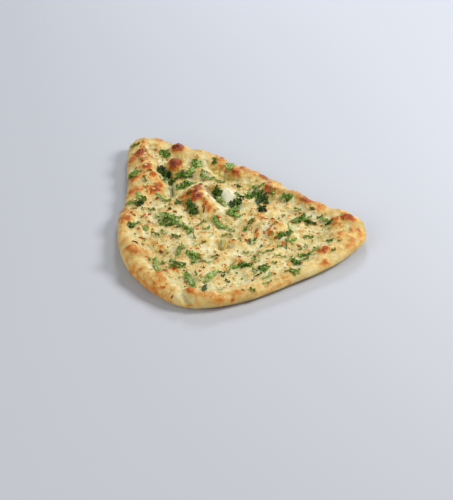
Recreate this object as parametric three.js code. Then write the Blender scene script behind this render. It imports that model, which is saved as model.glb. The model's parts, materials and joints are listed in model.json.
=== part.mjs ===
// A garlic and coriander naan: one flat leavened bread, stretched by hand into a long rounded triangle
// and blistered on top by the oven. It is one solid, with a raised rim, a thinner middle, blisters, hollows
// and a flat underside whose edge curls a little off the surface that it lies on.
// Millimetres, +Z up. The origin is on that surface, under the middle of the bread's bounding box.
// +Y points away from the broad end, towards the narrow end, which lies on the -X side.

import * as THREE from "three";

// Thickness of the flat middle, and the least thickness left under a hollow.
const MIDDLE_THICKNESS = 9.5;
const LEAST_THICKNESS = 4;
// Height of the side's widest line, as a share of the rim's height.
const WIDEST_SHARE = 0.42;
// Distance from the edge to the rim's crest, as a share of the rim's reach.
const CREST_SHARE = 0.34;
// How far in the side turns under, and how far in from there the underside comes down flat.
const UNDER_TURN = 9;
const UNDER_SLOPE = 22;
// Low waves of hand-stretched dough: height, and the length from crest to crest.
const WAVES = [
  { height: 0.9, length: 67, heading: 20 },
  { height: 0.7, length: 43, heading: 100 },
  { height: 0.5, length: 37, heading: 155 },
  { height: 0.5, length: 29, heading: 60 },
  { height: 0.4, length: 24, heading: 130 },
];

// The edge, anticlockwise from the narrow end as seen from above.
// Each row is x, y, height of the rim's crest, reach of the rim, and lift of the underside at the edge.
const EDGE = [
  [-94, 136, 18, 34, 3],
  [-111, 129, 17, 34, 2],
  [-113, 90, 17.5, 38, 1],
  [-110, 39, 16.5, 36, 1],
  [-115, -9, 14.5, 30, 1],
  [-109, -60, 16, 34, 2],
  [-92, -96, 15, 30, 1],
  [-58, -128, 14, 26, 0.5],
  [-37, -133, 14, 24, 0.5],
  [2, -124, 13, 24, 1],
  [52, -95, 13.5, 26, 1.5],
  [85, -73, 14.5, 30, 3],
  [113, -41, 16, 34, 4.5],
  [116, -26, 17, 34, 5],
  [109, -5, 16, 28, 4],
  [72, 19, 15.5, 22, 2],
  [23, 68, 16.5, 22, 1.5],
  [-15, 96, 16.5, 24, 2],
  [-63, 124, 18, 30, 3],
];

// Blisters and hollows of the top, each a rounded oval: x, y, half length, half width, turn in degrees
// from +X, and height, which is negative for a hollow.
const RELIEF = [
  [-38, 20, 28, 17, -58, 12.5],
  [-42, 33, 18, 12, -20, 6],
  [-16, 36, 22, 11, -40, 9],
  [-36, 71, 20, 10, -25, 6],
  [-63, 108, 12, 10, 0, 4],
  [-64, 89, 12, 11, 0, 4],
  [-44, 93, 18, 7, -25, 2.5],
  [-88, 72, 42, 13, 101, 6],
  [-97, 100, 12, 9, 60, 2.5],
  [-90, 69, 10, 7, 20, 2],
  [-80, 35, 13, 9, 30, 4.5],
  [26, -21, 23, 18, -10, 6.5],
  [-4, 66, 16, 8, -40, 2.5],
  [24, 42, 14, 10, -35, 4],
  [66, 2, 16, 10, -30, 3.5],
  [96, -16, 16, 9, -30, 3.5],
  [90, -36, 17, 12, -50, 4],
  [73, -58, 12, 9, 20, 2],
  [-97, -67, 23, 15, 10, 5],
  [-76, -52, 20, 8, -40, 3.5],
  [-106, -10, 18, 9, 80, 2.5],
  [-87, -24, 13, 9, 0, 2.5],
  [-66, 6, 17, 9, 20, 3],
  [-63, -90, 20, 9, 40, 2.5],
  [-33, -40, 13, 9, 0, 2],
  [-12, -66, 24, 12, -10, 2],
  [22, -80, 22, 12, 25, 2],
  [-46, -122, 10, 7, 0, 3],
  [-73, 69, 18, 12, 105, -5.5],
  [-67, 46, 20, 9, 85, -5],
  [-95, 48, 9, 6, 60, -2.5],
  [-3, 17, 14, 9, 50, -4],
  [20, 25, 13, 9, 20, -4],
  [-24, -12, 18, 9, -30, -3.5],
  [-16, -48, 11, 10, 0, -4.5],
  [-13, 66, 22, 8, -38, -5.5],
  [-85, -50, 14, 6, 5, -2.5],
  [-49, -130, 7, 14, 10, -4],
  [72, -22, 15, 11, 0, -3],
  [-38, -68, 20, 10, 30, -2],
  [50, -52, 20, 12, 20, -1.5],
];

// The mesh runs in rings round this point. Spacing along a ring, rings between the rim's crest and the
// middle, steps of a rounded side, and rings of the underside.
const MIDDLE = new THREE.Vector2(-25, -5);
const SPACING = 4.4;
const TOP_RINGS = 29;
const SIDE_STEPS = 4;
const UNDER_RINGS = 4;
// How far the sizes of one stretch of rim blend into the next.
const BLEND = 6;

const closedCurve = (points) => {
  const curve = new THREE.CatmullRomCurve3(points, true, "centripetal");
  curve.arcLengthDivisions = 1600;
  return curve;
};
const edgeLine = closedCurve(EDGE.map(([x, y]) => new THREE.Vector3(x, y, 0)));
const edgeSizes = closedCurve(EDGE.map(([, , crest, reach, lift]) => new THREE.Vector3(crest, reach, lift)));

// The edge in equal steps: where each station is, which way is inwards, and the rim's sizes there.
const stationCount = Math.round(edgeLine.getLength() / SPACING);
const stations = Array.from({ length: stationCount }, (_, index) => {
  const t = index === 0 ? 0 : edgeLine.getUtoTmapping(index / stationCount);
  const at = edgeLine.getPoint(t);
  const along = edgeLine.getTangent(t);
  const sizes = edgeSizes.getPoint(t);
  return {
    at: new THREE.Vector2(at.x, at.y),
    inwards: new THREE.Vector2(-along.y, along.x),
    crest: sizes.x,
    reach: sizes.y,
    lift: sizes.z,
  };
});

// The rim as it is felt at a point inside it: the distance in from the edge, and the sizes of the
// stations, the near ones counting most.
function rimNear(point) {
  const away = stations.map((station) => station.at.distanceTo(point));
  const inFromEdge = Math.min(...away);
  const rim = { inFromEdge, crest: 0, reach: 0, lift: 0 };
  let total = 0;
  stations.forEach((station, index) => {
    const weight = Math.exp((inFromEdge - away[index]) / BLEND);
    total += weight;
    for (const size of ["crest", "reach", "lift"]) rim[size] += weight * station[size];
  });
  for (const size of ["crest", "reach", "lift"]) rim[size] /= total;
  return rim;
}

function reliefAt(point) {
  let height = 0;
  for (const [x, y, halfLength, halfWidth, turn, rise] of RELIEF) {
    const local = new THREE.Vector2(point.x - x, point.y - y);
    local.rotateAround(new THREE.Vector2(), -THREE.MathUtils.degToRad(turn));
    const out = Math.hypot(local.x / halfLength, local.y / halfWidth);
    if (out < 1) height += rise * (1 - out * out) ** 1.5;
  }
  return height;
}

function wavesAt(point) {
  let height = 0;
  for (const { height: rise, length, heading } of WAVES) {
    const angle = THREE.MathUtils.degToRad(heading);
    const along = point.x * Math.cos(angle) + point.y * Math.sin(angle);
    height += rise * Math.sin((2 * Math.PI * along) / length + heading);
  }
  return height;
}

const crestDistance = (rim) => CREST_SHARE * rim.reach;
const widestHeight = (rim) => THREE.MathUtils.lerp(rim.lift, rim.crest, WIDEST_SHARE);

// Height of the top on the rounded side, from the widest line at 0 to the crest at 1.
function sideTop(point, rim, share) {
  const crest = rim.crest + reliefAt(point) + wavesAt(point);
  return THREE.MathUtils.lerp(widestHeight(rim), crest, Math.sqrt(1 - (1 - share) ** 2));
}

// Height of the top inside the crest.
function innerTop(point) {
  const rim = rimNear(point);
  const fall = THREE.MathUtils.smoothstep(rim.inFromEdge, crestDistance(rim), rim.reach);
  const plain = THREE.MathUtils.lerp(rim.crest, MIDDLE_THICKNESS, fall);
  return Math.max(plain + reliefAt(point) + wavesAt(point), LEAST_THICKNESS);
}

// Height of the underside on its rounded side, and inside that.
function sideUnder(point, rim, share) {
  return THREE.MathUtils.lerp(widestHeight(rim), rim.lift, Math.sqrt(1 - (1 - share) ** 2));
}

function innerUnder(point) {
  const rim = rimNear(point);
  return rim.lift * (1 - THREE.MathUtils.smoothstep(rim.inFromEdge, UNDER_TURN, UNDER_TURN + UNDER_SLOPE));
}

// One face as rings of [x, y, z], from the widest line in to the middle.
function ringsOf(turnOf, sideHeight, innerHeight, ringCount) {
  const rings = [stations.map((rim) => [rim.at.x, rim.at.y, widestHeight(rim)])];
  let turned = [];
  for (let step = 1; step <= SIDE_STEPS; step += 1) {
    const share = 1 - Math.cos((step / SIDE_STEPS) * (Math.PI / 2));
    turned = stations.map((rim) => rim.at.clone().addScaledVector(rim.inwards, share * turnOf(rim)));
    rings.push(turned.map((point, index) => [point.x, point.y, sideHeight(point, stations[index], share)]));
  }
  const inner = closedCurve(turned.map((point) => new THREE.Vector3(point.x, point.y, 0)));
  for (let ring = 1; ring < ringCount; ring += 1) {
    const share = 1 - ring / ringCount;
    const count = Math.max(8, Math.round((inner.getLength() * share) / SPACING));
    rings.push(Array.from({ length: count }, (_, index) => {
      const at = inner.getPointAt(index / count);
      const point = MIDDLE.clone().lerp(new THREE.Vector2(at.x, at.y), share);
      return [point.x, point.y, innerHeight(point)];
    }));
  }
  return rings;
}

// How far round its ring each point lies, from 0 to 1.
function sharesRound(ring) {
  const shares = [0];
  ring.forEach(([x, y], index) => {
    const [nextX, nextY] = ring[(index + 1) % ring.length];
    shares.push(shares[index] + Math.hypot(nextX - x, nextY - y));
  });
  return shares.map((length) => length / shares.at(-1));
}

// Triangles between two rings. Rings of one count are joined point to point, and others by taking the
// next point from whichever ring is behind.
function netBetween(outer, inner) {
  const triangles = [];
  const outerShares = sharesRound(outer);
  const innerShares = outer.length === inner.length ? outerShares : sharesRound(inner);
  let o = 0;
  let i = 0;
  while (o < outer.length || i < inner.length) {
    const outerPoint = outer[o % outer.length];
    const innerPoint = inner[i % inner.length];
    if (i === inner.length || (o < outer.length && outerShares[o + 1] <= innerShares[i + 1])) {
      o += 1;
      triangles.push([outerPoint, outer[o % outer.length], innerPoint]);
    } else {
      i += 1;
      triangles.push([outerPoint, inner[i % inner.length], innerPoint]);
    }
  }
  return triangles;
}

function trianglesOf(rings, innerHeight) {
  const last = rings.at(-1);
  const tip = [MIDDLE.x, MIDDLE.y, innerHeight(MIDDLE)];
  const nets = rings.slice(1).map((inner, index) => netBetween(rings[index], inner));
  return [...nets.flat(), ...last.map((point, index) => [point, last[(index + 1) % last.length], tip])];
}

function breadGeometry() {
  const top = trianglesOf(ringsOf(crestDistance, sideTop, innerTop, TOP_RINGS), innerTop);
  const under = trianglesOf(ringsOf(() => UNDER_TURN, sideUnder, innerUnder, UNDER_RINGS), innerUnder);
  const facingDown = under.map(([a, b, c]) => [a, c, b]);
  const geometry = new THREE.BufferGeometry();
  geometry.setAttribute("position", new THREE.Float32BufferAttribute([...top, ...facingDown].flat(2), 3));
  geometry.computeVertexNormals();
  geometry.computeBoundingBox();
  const centre = geometry.boundingBox.getCenter(new THREE.Vector3());
  geometry.translate(-centre.x, -centre.y, -geometry.boundingBox.min.z);
  return geometry;
}

const bread = new THREE.Mesh(
  breadGeometry(),
  new THREE.MeshStandardMaterial({ color: 0xdebe7e, roughness: 0.6, metalness: 0 }));
bread.name = "naan_bread";

const naan = new THREE.Group();
naan.add(bread);

export default naan;
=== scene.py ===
import json
import math
import random

import bmesh
import bpy
import numpy as np
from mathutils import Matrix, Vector, noise
from mathutils.bvhtree import BVHTree

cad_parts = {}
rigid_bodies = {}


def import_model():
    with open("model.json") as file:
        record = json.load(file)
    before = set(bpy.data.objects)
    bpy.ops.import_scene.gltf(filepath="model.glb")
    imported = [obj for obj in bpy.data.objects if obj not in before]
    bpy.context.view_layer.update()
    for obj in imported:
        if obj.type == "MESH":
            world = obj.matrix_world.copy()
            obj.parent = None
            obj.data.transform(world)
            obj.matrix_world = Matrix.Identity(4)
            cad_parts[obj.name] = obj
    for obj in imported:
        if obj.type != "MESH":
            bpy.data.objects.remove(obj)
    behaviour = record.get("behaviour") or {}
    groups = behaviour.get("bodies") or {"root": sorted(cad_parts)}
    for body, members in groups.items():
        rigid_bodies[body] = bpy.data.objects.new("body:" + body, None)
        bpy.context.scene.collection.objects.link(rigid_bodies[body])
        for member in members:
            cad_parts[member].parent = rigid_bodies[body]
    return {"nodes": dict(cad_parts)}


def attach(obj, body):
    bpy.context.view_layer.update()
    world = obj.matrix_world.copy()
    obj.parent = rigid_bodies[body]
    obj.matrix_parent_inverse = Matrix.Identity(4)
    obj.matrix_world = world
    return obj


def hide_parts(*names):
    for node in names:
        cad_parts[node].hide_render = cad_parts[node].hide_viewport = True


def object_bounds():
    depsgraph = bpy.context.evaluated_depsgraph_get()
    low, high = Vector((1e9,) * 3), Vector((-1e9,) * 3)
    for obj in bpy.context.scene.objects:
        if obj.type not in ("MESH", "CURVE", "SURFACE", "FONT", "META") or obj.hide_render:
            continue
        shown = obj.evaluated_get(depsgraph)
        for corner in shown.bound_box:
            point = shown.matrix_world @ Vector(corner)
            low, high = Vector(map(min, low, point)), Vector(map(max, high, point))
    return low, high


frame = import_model()
cad_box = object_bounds()

# The camera looks down on the bread at 36 degrees from just over a metre away, through a long lens, so the
# far end is drawn only a little smaller than the near one.
IMAGE_WIDTH = 453
IMAGE_HEIGHT = 500
LENS = 85.0
SENSOR = 36.0
ELEVATION = math.radians(36)
DISTANCE = 1.08
AIM = Vector((-0.0139, -0.0433, 0.0))


def placed(name, data):
    """A new object in the scene."""
    made = bpy.data.objects.new(name, data)
    bpy.context.collection.objects.link(made)
    return made


towards_camera = Vector((0, -math.cos(ELEVATION), math.sin(ELEVATION)))
camera_data = bpy.data.cameras.new("camera")
camera_data.lens = LENS
camera_data.sensor_width = SENSOR
camera = placed("camera", camera_data)
camera.location = AIM + towards_camera * DISTANCE
camera.rotation_euler = (math.pi / 2 - ELEVATION, 0, 0)
bpy.context.scene.camera = camera


def pixel_ray(x, y):
    """The direction in which the camera sees a pixel of the photograph."""
    focal = LENS / SENSOR * IMAGE_HEIGHT
    right = Vector((1, 0, 0))
    up = towards_camera.cross(right)
    across = (x - IMAGE_WIDTH / 2) / focal
    down = (y - IMAGE_HEIGHT / 2) / focal
    return right * across - up * down - towards_camera


# The bread is leavened wheat dough, pulled by hand into a long drop, baked on a very hot surface and brushed
# with butter. Gas blows its skin into blisters, which toast first because they stand nearest the heat, while
# the dough in the hollows and on the blisters' flanks stays pale.
FACE_SIZE = 0.00125
SOFT_TOP = 0.0012
SMALL_BLISTERS = 420
MEDIUM_BLISTERS = 70
DIMPLES = 120

# How many times places are blended with their neighbours: to lose the solid's facets, and for the near and
# the wide surroundings that a place stands proud of.
FACET_BLUR = 12
NEAR_BLUR = 40
WIDE_BLUR = 260

# A height above the whole bread, from which rays are cast down on it.
ABOVE = 0.1
DOWN = Vector((0, 0, -1))

# Bubbles, folds and hollows of the skin: pixel x and y in the photograph, and radius and height in
# millimetres. A fold or hollow has a negative height.
BUBBLES = [
    (177.8, 147, 7.5, 3.6), (174, 164.5, 8.5, 5.4), (147.5, 164, 5, 1.8), (154, 174, 5, 1.8),
    (157.5, 185, 4.5, 1.8), (141, 150, 8, 1.2), (323.5, 248, 5.5, 0.9), (188.5, 289.5, 6, 1.4),
    (337, 225, 6, 1.4), (131, 249, 8, 1.5), (347, 216, 7, 1.2), (306, 200, 6, 1.2), (268, 188, 6, 1.4),
    (236, 173, 7, 1.2), (219, 301, 6, 0.8), (325, 262, 5, 0.8), (204, 241, 4, 0.8), (145, 199, 4, 1.2),
    (132, 190, 7, 1.2), (122, 212, 7, 1.2), (122, 224, 5, 1), (146, 226, 5, 1.2), (245, 168, 6, 1.2),
    (263, 176, 5, 1), (196, 157, 7, 0.4), (356, 231, 6, 0.8), (347, 245, 5, 0.6), (166, 270, 5, 0.9),
    (259, 217, 5, 1.2), (272, 220, 5, 1.4), (281, 225, 5, 1), (258, 234, 5, 1.2), (271, 235, 5, 1),
    (206.5, 171.5, 7, 1.8), (238, 295, 8, 0.9), (140, 265, 9, 0.9), (188.5, 299, 7, -3.8),
    (183, 292, 4.5, -2), (191, 306, 5, -2.6), (176, 297, 4, 0.9), (220.5, 244, 5, -3.2),
    (222, 248, 4.5, -2.6), (214, 251.5, 5, 0.9), (224, 253, 5, 1), (233, 251, 5, 0.8), (232, 243, 5, 1),
    (271, 226, 17, 1.6), (237.5, 237.5, 6, -1.4), (258, 246.5, 7, -1.2), (136, 249.5, 6, 1.2),
    (143, 252.5, 6, 1.3), (150, 256, 6, 1.3), (156, 260.5, 5, 1.1), (140, 244.5, 4.5, -1.5),
    (147, 248, 4.5, -1.7), (154, 251.5, 4.5, -1.7), (161, 255, 4.5, -1.3), (149, 239.5, 5, 1.3),
    (155.5, 243, 5, 1.5), (162, 247, 5, 1.6), (168, 251.5, 5, 1.5), (173, 256.5, 4.5, 1.2),
    (178, 260, 4, 0.9), (163, 279, 5, 1.3), (168.5, 283.5, 5, 1.4), (174, 288.5, 5, 1.3),
    (168, 277.5, 4, -1.4), (173.5, 281.5, 4, -1.6), (179, 285.5, 4, -1.4), (160, 274, 4, 0.9),
    (165.5, 270, 4, 0.8), (229, 247, 3, -0.6), (286, 208, 6, 1), (198, 248, 3.5, 0.7), (221, 184, 6, 0.8),
]

# Dark, brown and pale places: pixel x and y in the photograph, radius in millimetres, and how much browner
# the place is in per cent, or paler if negative.
SCORCHES = [
    # the mounds along the left, browned on the side that faced the heat
    (134, 158, 6, 30), (138, 152.5, 7, 42), (142.5, 146.5, 5.5, 36), (133, 164, 5, 16), (142, 154, 4, 20),
    (147, 165.5, 4.5, 29), (150.5, 169.5, 3, 25), (153, 174.5, 4.5, 28), (156.5, 179, 4, 26),
    (150, 192, 3.5, 40), (155.5, 188.5, 5, 50), (160.5, 185.5, 4.5, 50), (160.8, 186.6, 1.9, 66),
    (157, 199, 2, 35), (143.5, 197.5, 3.5, 32), (148, 201, 3, 28), (129.5, 166, 1.8, 35), (133, 179, 7, 24),
    (133, 190, 8, 26), (140, 176, 4, 22), (139, 163, 8, 14), (141, 188, 7, 12), (128, 196, 4, 20),
    (122, 211, 5, 22), (119.5, 220, 5, 20), (123, 230, 5, 10), (146, 226, 4, 25), (152, 226, 3, 22),
    (134, 213, 4, 18), (139.5, 175, 5.5, 42),
    # the narrow end and the back rim
    (160, 140.5, 5, 8), (177, 146.5, 7, 39), (173.5, 163.5, 8, 52), (178, 167, 4, 30), (186, 156, 6, -6),
    (199, 158, 7, -12), (220, 159.5, 4, 24), (214, 165.5, 4, 20), (231, 178.5, 6, 20), (221, 167.5, 4, 28),
    (229, 170.5, 4, 30), (235.5, 173.5, 4.5, 30), (238, 177.5, 3, 25), (243, 167.5, 5, 22),
    (251, 171, 4, 16), (262, 175.2, 2.5, 35), (267, 178.5, 4, 25), (266, 187, 4, 38), (270.5, 190.5, 4, 38),
    (274, 194, 3, 30), (270, 184, 4, 15), (300, 199.3, 3.5, 28), (306, 200, 4, 32), (312, 201.5, 3.5, 28),
    (320.5, 207, 4, 28), (151, 145.5, 4.5, -10),
    # the side corner
    (337, 219.5, 4, 30), (342.5, 217, 4.5, 36), (348, 216, 4.5, 34), (353, 218.5, 3.5, 30),
    (334, 225, 4.5, 32), (340, 225.5, 4.5, 36), (331, 229, 3, 20), (341, 232, 4, 20), (353, 229, 6, 20),
    (359, 231.5, 6, 22), (348, 238, 12, 12), (347.5, 246, 4, 16), (325.5, 262.5, 4.5, 24), (313, 242, 4, 10),
    (339, 244, 5, 8), (323.7, 248.4, 5.5, 34),
    # the front, and the dimple at the centre
    (238, 296, 7, 8), (219, 300.5, 6, 14), (232.5, 300.5, 1.8, 35), (188.5, 290, 5.5, 16), (126, 254, 9, 7),
    (131.5, 249.5, 10, 6), (137, 248.5, 9, 7), (145, 246, 8, 10), (149, 240.5, 5, 14), (156, 244.5, 5, 14),
    (160, 246.5, 4.5, 18), (130, 247, 4, 15), (143, 253, 9, 12), (127, 262, 8, 8), (151, 250, 4, 10),
    (160.5, 273, 4, 16), (165, 270.3, 4, 42), (169.5, 268, 3.5, 38), (131, 273, 7, 20), (138, 280, 7, 20),
    (146, 286.5, 7, 22), (154, 292.5, 7, 22), (162, 297.5, 6.5, 20), (170, 302, 6, 20), (150, 266, 5, -8),
    (158, 276, 4, 6), (172, 286, 5, -8), (150, 279, 6, 16), (160, 286, 6, 18), (167, 292, 5, 12),
    # (219.5, 245) browns the far wall of the dimple at the centre: painted shade.
    (219.5, 245, 3, 16), (227.5, 249.5, 2, 20), (204, 241, 3, 18), (198, 248.5, 2.5, 12),
    # (188, 299) browns the fold where the two front rolls meet: painted shade in the fold.
    (289.5, 283, 1.8, 30), (268, 293, 5, 12), (188, 299, 5.5, 20), (188, 307.5, 3, 14),
    # the large blister and the low one beside it
    (183, 197, 5, 40), (187.5, 195, 6, 44), (193, 192, 6.5, 46), (197.5, 188.5, 4.5, 44), (185, 202, 4, 36),
    (192, 199, 5.5, 44), (197.5, 195.5, 5.5, 46), (204.5, 204, 3.5, 28), (209, 208, 4, 26),
    (203, 208, 3, 16), (214.5, 185.5, 5, 20), (214, 212, 3, 20), (193, 179.5, 6, 12), (216, 184, 5, 12),
    (262, 217, 6, 26), (272, 219, 6, 26), (257, 232.5, 5, 24), (267, 234.5, 4, 20), (279, 226, 4, 14),
    (284, 230, 4, 10),
    # pale flanks and hollows
    (208, 195, 4.5, -60), (212, 199, 4.5, -50), (220, 209, 4.5, -35), (224, 193, 5, -40), (230, 195, 7, -60),
    (199, 205.5, 4, -20), (206, 171, 6, -40), (212, 175.5, 4, -20), (163.5, 176, 4, -22),
    (166.5, 192, 4, -18), (177, 297, 5, -28), (313, 213, 4, -18), (300, 266, 5, -10), (172, 283, 5, -12),
    (181, 243, 6, -18), (262, 228, 5, -15), (268, 227, 7, -35), (207, 171, 4, -30), (240, 200, 5, -12),
    (159, 161, 3, -14), (245, 286, 6, -8), (178, 210, 5, -12), (310, 270, 7, -12), (340, 258, 7, -8),
    (208, 242, 10, -14),
]

# Hollows that the butter ran into: pixel x and y in the photograph, radius in millimetres.
BUTTER_POOLS = [
    # (186, 299) lies in the fold where the two front rolls meet, and its darker, yellower colour there is
    # painted shade.
    (177.5, 147, 6), (173.5, 164, 7), (186, 299, 4), (217, 172, 5), (223, 175.5, 6), (231, 178, 8),
    (240, 184, 5), (248, 187, 4), (200, 213, 4), (186, 207, 4), (236, 239, 5), (229, 235, 4), (275, 203, 5),
    (151, 209, 3.5), (166, 190, 3), (251, 204, 4), (276, 243, 4),
]


def of_vertices(mesh, field):
    """The places ("co") or the outward directions ("normal") of a mesh's vertices, one to a row."""
    values = np.empty(len(mesh.vertices) * 3, dtype=np.float32)
    mesh.vertices.foreach_get(field, values)
    return values.reshape(-1, 3).astype(float)


def move_vertices(mesh, places):
    """Sets a mesh's vertices at these places."""
    mesh.vertices.foreach_set("co", places.astype(np.float32).ravel())
    mesh.update()


def rise(values, low, high):
    """0 below low and 1 above high, with a smooth rise between them."""
    share = np.clip((values - low) / (high - low), 0, 1)
    return share * share * (3 - 2 * share)


def shaped(holder):
    """Gives an object the mesh that its modifiers make of it."""
    made = bpy.data.meshes.new_from_object(holder.evaluated_get(bpy.context.evaluated_depsgraph_get()))
    holder.modifiers.clear()
    holder.data = made
    return made


# The CAD solid's copy gets even faces, and loses its facets.
crust = placed("naan_crust", frame["nodes"]["naan_bread"].data.copy())
merged = bmesh.new()
merged.from_mesh(crust.data)
bmesh.ops.remove_doubles(merged, verts=merged.verts, dist=0.00001)
merged.to_mesh(crust.data)
merged.free()
even_faces = crust.modifiers.new("even_faces", "REMESH")
even_faces.mode = "VOXEL"
even_faces.voxel_size = FACE_SIZE
dough = shaped(crust)
dough.name = "naan_crust"

edge_ends = np.empty(len(dough.edges) * 2, dtype=np.int32)
dough.edges.foreach_get("vertices", edge_ends)
edge_ends = edge_ends.reshape(-1, 2)
neighbours = np.bincount(edge_ends.ravel(), minlength=len(dough.vertices))


def blurred(values, times):
    """A value of each vertex, blended with its neighbours' this many times."""
    one, other = edge_ends.T
    for _ in range(times):
        total = np.bincount(one, values[other], len(values)) + np.bincount(other, values[one], len(values))
        values = (values + total / neighbours) / 2
    return values


places = of_vertices(dough, "co")
smooth_places = np.stack([blurred(places[:, axis], FACET_BLUR) for axis in range(3)], axis=1)
smooth_places[:, 2] = np.maximum(smooth_places[:, 2], 0)
move_vertices(dough, smooth_places)
smooth_tree = BVHTree.FromPolygons(smooth_places.tolist(), [face.vertices[:] for face in dough.polygons])


def lies_inside(x, y, margin):
    """Whether a place in plan is over the bread, and no nearer to its edge than margin."""
    for step in range(8):
        turn = step * math.pi / 4
        above = Vector((x + margin * math.cos(turn), y + margin * math.sin(turn), ABOVE))
        if smooth_tree.ray_cast(above, DOWN)[0] is None:
            return False
    return True


def scattered_places(chance, count, margin, level=0):
    """Places in plan, spread at random over the bread where its upward normal is above this level."""
    (low_x, low_y, _), (high_x, high_y, _) = cad_box
    found = []
    while len(found) < count:
        x, y = chance.uniform(low_x, high_x), chance.uniform(low_y, high_y)
        if lies_inside(x, y, margin) and smooth_tree.ray_cast(Vector((x, y, ABOVE)), DOWN)[1].z > level:
            found.append((x, y))
    return found


def uneven(size, layer):
    """Soft noise from about -1 to 1 over the bread, with swells of this size."""
    shift = Vector((layer * 3.7, layer * 1.9, layer * 2.3))
    return np.array([noise.noise(Vector(place) / size + shift) for place in smooth_places])


# The skin's relief, in metres along its normal: swells, blisters and dimples.
normals = of_vertices(dough, "normal")
facing_up = rise(normals[:, 2], 0.15, 0.7)
facing_down = rise(-normals[:, 2], 0.3, 0.8)
relief = (0.0008 + 0.0006 * facing_up) * uneven(0.012, 1)
relief += ((0.0003 + 0.0006 * facing_up) * uneven(0.0055, 2)
           + (0.0001 + 0.0003 * facing_up) * uneven(0.0026, 3))
relief *= 1 - 0.85 * facing_down
tip_toast = np.zeros(len(places))
chance = random.Random(7)
bumps = []
for x, y in scattered_places(chance, SMALL_BLISTERS, 0.012):
    size = chance.uniform(0.0013, 0.003)
    bumps.append((x, y, size, size * chance.uniform(0.12, 0.34), chance.choice((0, 0, 0.15, 0.3, 0.45))))
for x, y in scattered_places(chance, MEDIUM_BLISTERS, 0.006):
    size = chance.uniform(0.0032, 0.0065)
    bumps.append((x, y, size, size * chance.uniform(0.08, 0.2), chance.choice((0, 0.08, 0.16, 0.25))))
for x, y in scattered_places(chance, DIMPLES, 0.01):
    size = chance.uniform(0.0018, 0.0042)
    bumps.append((x, y, size, -size * chance.uniform(0.1, 0.26), -0.08))
for x, y, size, height, toast in bumps:
    out = np.hypot(smooth_places[:, 0] - x, smooth_places[:, 1] - y) / size
    dome = (1 - np.minimum(out, 1) ** 2) ** 1.5
    relief += height * dome * facing_up
    tip_toast += toast * dome ** 1.5 * facing_up

# How far each place is shifted, in radii, so that what would be round is ragged.
ragged = np.stack([0.3 * uneven(0.0085, 14 + axis) + 0.15 * uneven(0.003, 17 + axis) for axis in range(3)],
                  axis=1)


def seen_at(x, y, surface):
    """The place on the bread that the camera sees at a pixel of the photograph."""
    return surface.ray_cast(camera.location, pixel_ray(x, y))[0]


def radii_away(x, y, radius, surface, raggedness=1.0):
    """How many times the radius, in millimetres, each vertex is from a pixel's place on the bread."""
    centre = np.array(seen_at(x, y, surface))
    return np.linalg.norm((smooth_places - centre) / (radius * 0.001) + raggedness * ragged, axis=1)


for x, y, radius, height in BUBBLES:
    away = radii_away(x, y, radius, smooth_tree, 0.4)
    relief += height * 0.001 * (1 - np.minimum(away, 1) ** 2) ** 1.2
places = smooth_places + normals * relief[:, None]

# The skin's highest places flatten off smoothly below the top of the CAD solid.
over = np.maximum(places[:, 2] - (cad_box[1][2] - SOFT_TOP), 0)
places[:, 2] += SOFT_TOP * (1 - np.exp(-over / SOFT_TOP)) - over
places[:, 2] = np.maximum(places[:, 2], 0)
move_vertices(dough, places)
bread_tree = BVHTree.FromPolygons(places.tolist(), [face.vertices[:] for face in dough.polygons])

# How far each place is toasted, from 0 for pale dough to 1 for burnt.
height = places[:, 2] * 1000
proud_near = np.clip(height - blurred(height, NEAR_BLUR), -1, 1)
proud_wide = np.clip(height - blurred(height, WIDE_BLUR), -3, 3)
rim_side = 1 - rise(normals[:, 2], 0.45, 0.95)
toast = 0.23 + 0.035 * proud_wide + 0.14 * proud_near
mottling = (0.05 * uneven(0.011, 4) + 0.08 * uneven(0.0045, 5)) * (1 - 0.75 * rim_side)
toast += mottling + 0.07 * uneven(0.0022, 20)
toast += (0.165 + 0.04 * uneven(0.007, 12)) * rim_side
toast += (0.12 + 0.04 * uneven(0.012, 13)) * rise(-normals[:, 2], -0.5, 0.3) * (1 - facing_down)
toast += tip_toast
browner = np.zeros(len(places))
paler = np.zeros(len(places))
spot_edge = 1 + 0.45 * uneven(0.0045, 6) + 0.35 * uneven(0.002, 7)
for x, y, radius, strength in SCORCHES:
    away = radii_away(x, y, radius, bread_tree) * spot_edge
    spot = strength / 100 * (0.7 * np.exp(-away ** 2.4) + 0.3 * np.exp(-(away / 1.8) ** 2))
    browner, paler = np.maximum(browner, spot), np.minimum(paler, spot)
toast += browner + paler
# The underside lay on the hot surface, which toasted it in soft spots of uneven strength.
leopard = rise(uneven(0.01, 8) + 0.5 * uneven(0.004, 9), -0.25, 0.9)
underside = 0.36 + 0.08 * uneven(0.025, 21) + (0.34 + 0.16 * uneven(0.018, 22)) * leopard
toast = toast * (1 - facing_down) + underside * facing_down

# Where butter has run together: hollows, and patches of the rest. The darker, yellower colour that it gives
# the hollows is partly painted shade.
butter = rise(-proud_wide, 0.2, 2) * 0.6 + rise(uneven(0.016, 10) + 0.5 * uneven(0.005, 11), 0, 0.5) * 0.7
for x, y, radius in BUTTER_POOLS:
    butter += 0.9 * np.exp(-(radii_away(x, y, radius, bread_tree) * spot_edge) ** 2.4)
butter *= (1 - facing_down) * (1 - np.clip(-3 * paler, 0, 1))
away_from_rim = np.maximum(rise(-rim_side, -0.5, 0), facing_down)
for name, values in (("toast", toast), ("butter", butter), ("middle", away_from_rim)):
    layer = dough.attributes.new(name, "FLOAT", "POINT")
    layer.data.foreach_set("value", np.clip(values, 0, 1).astype(np.float32))
dough.shade_smooth()


def linear(hex_colour):
    """An sRGB hex colour as linear red, green, blue and alpha."""
    shares = [int(hex_colour[start:start + 2], 16) / 255 for start in (1, 3, 5)]
    bent = [share / 12.92 if share <= 0.04045 else ((share + 0.055) / 1.055) ** 2.4 for share in shares]
    return [*bent, 1]


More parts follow.
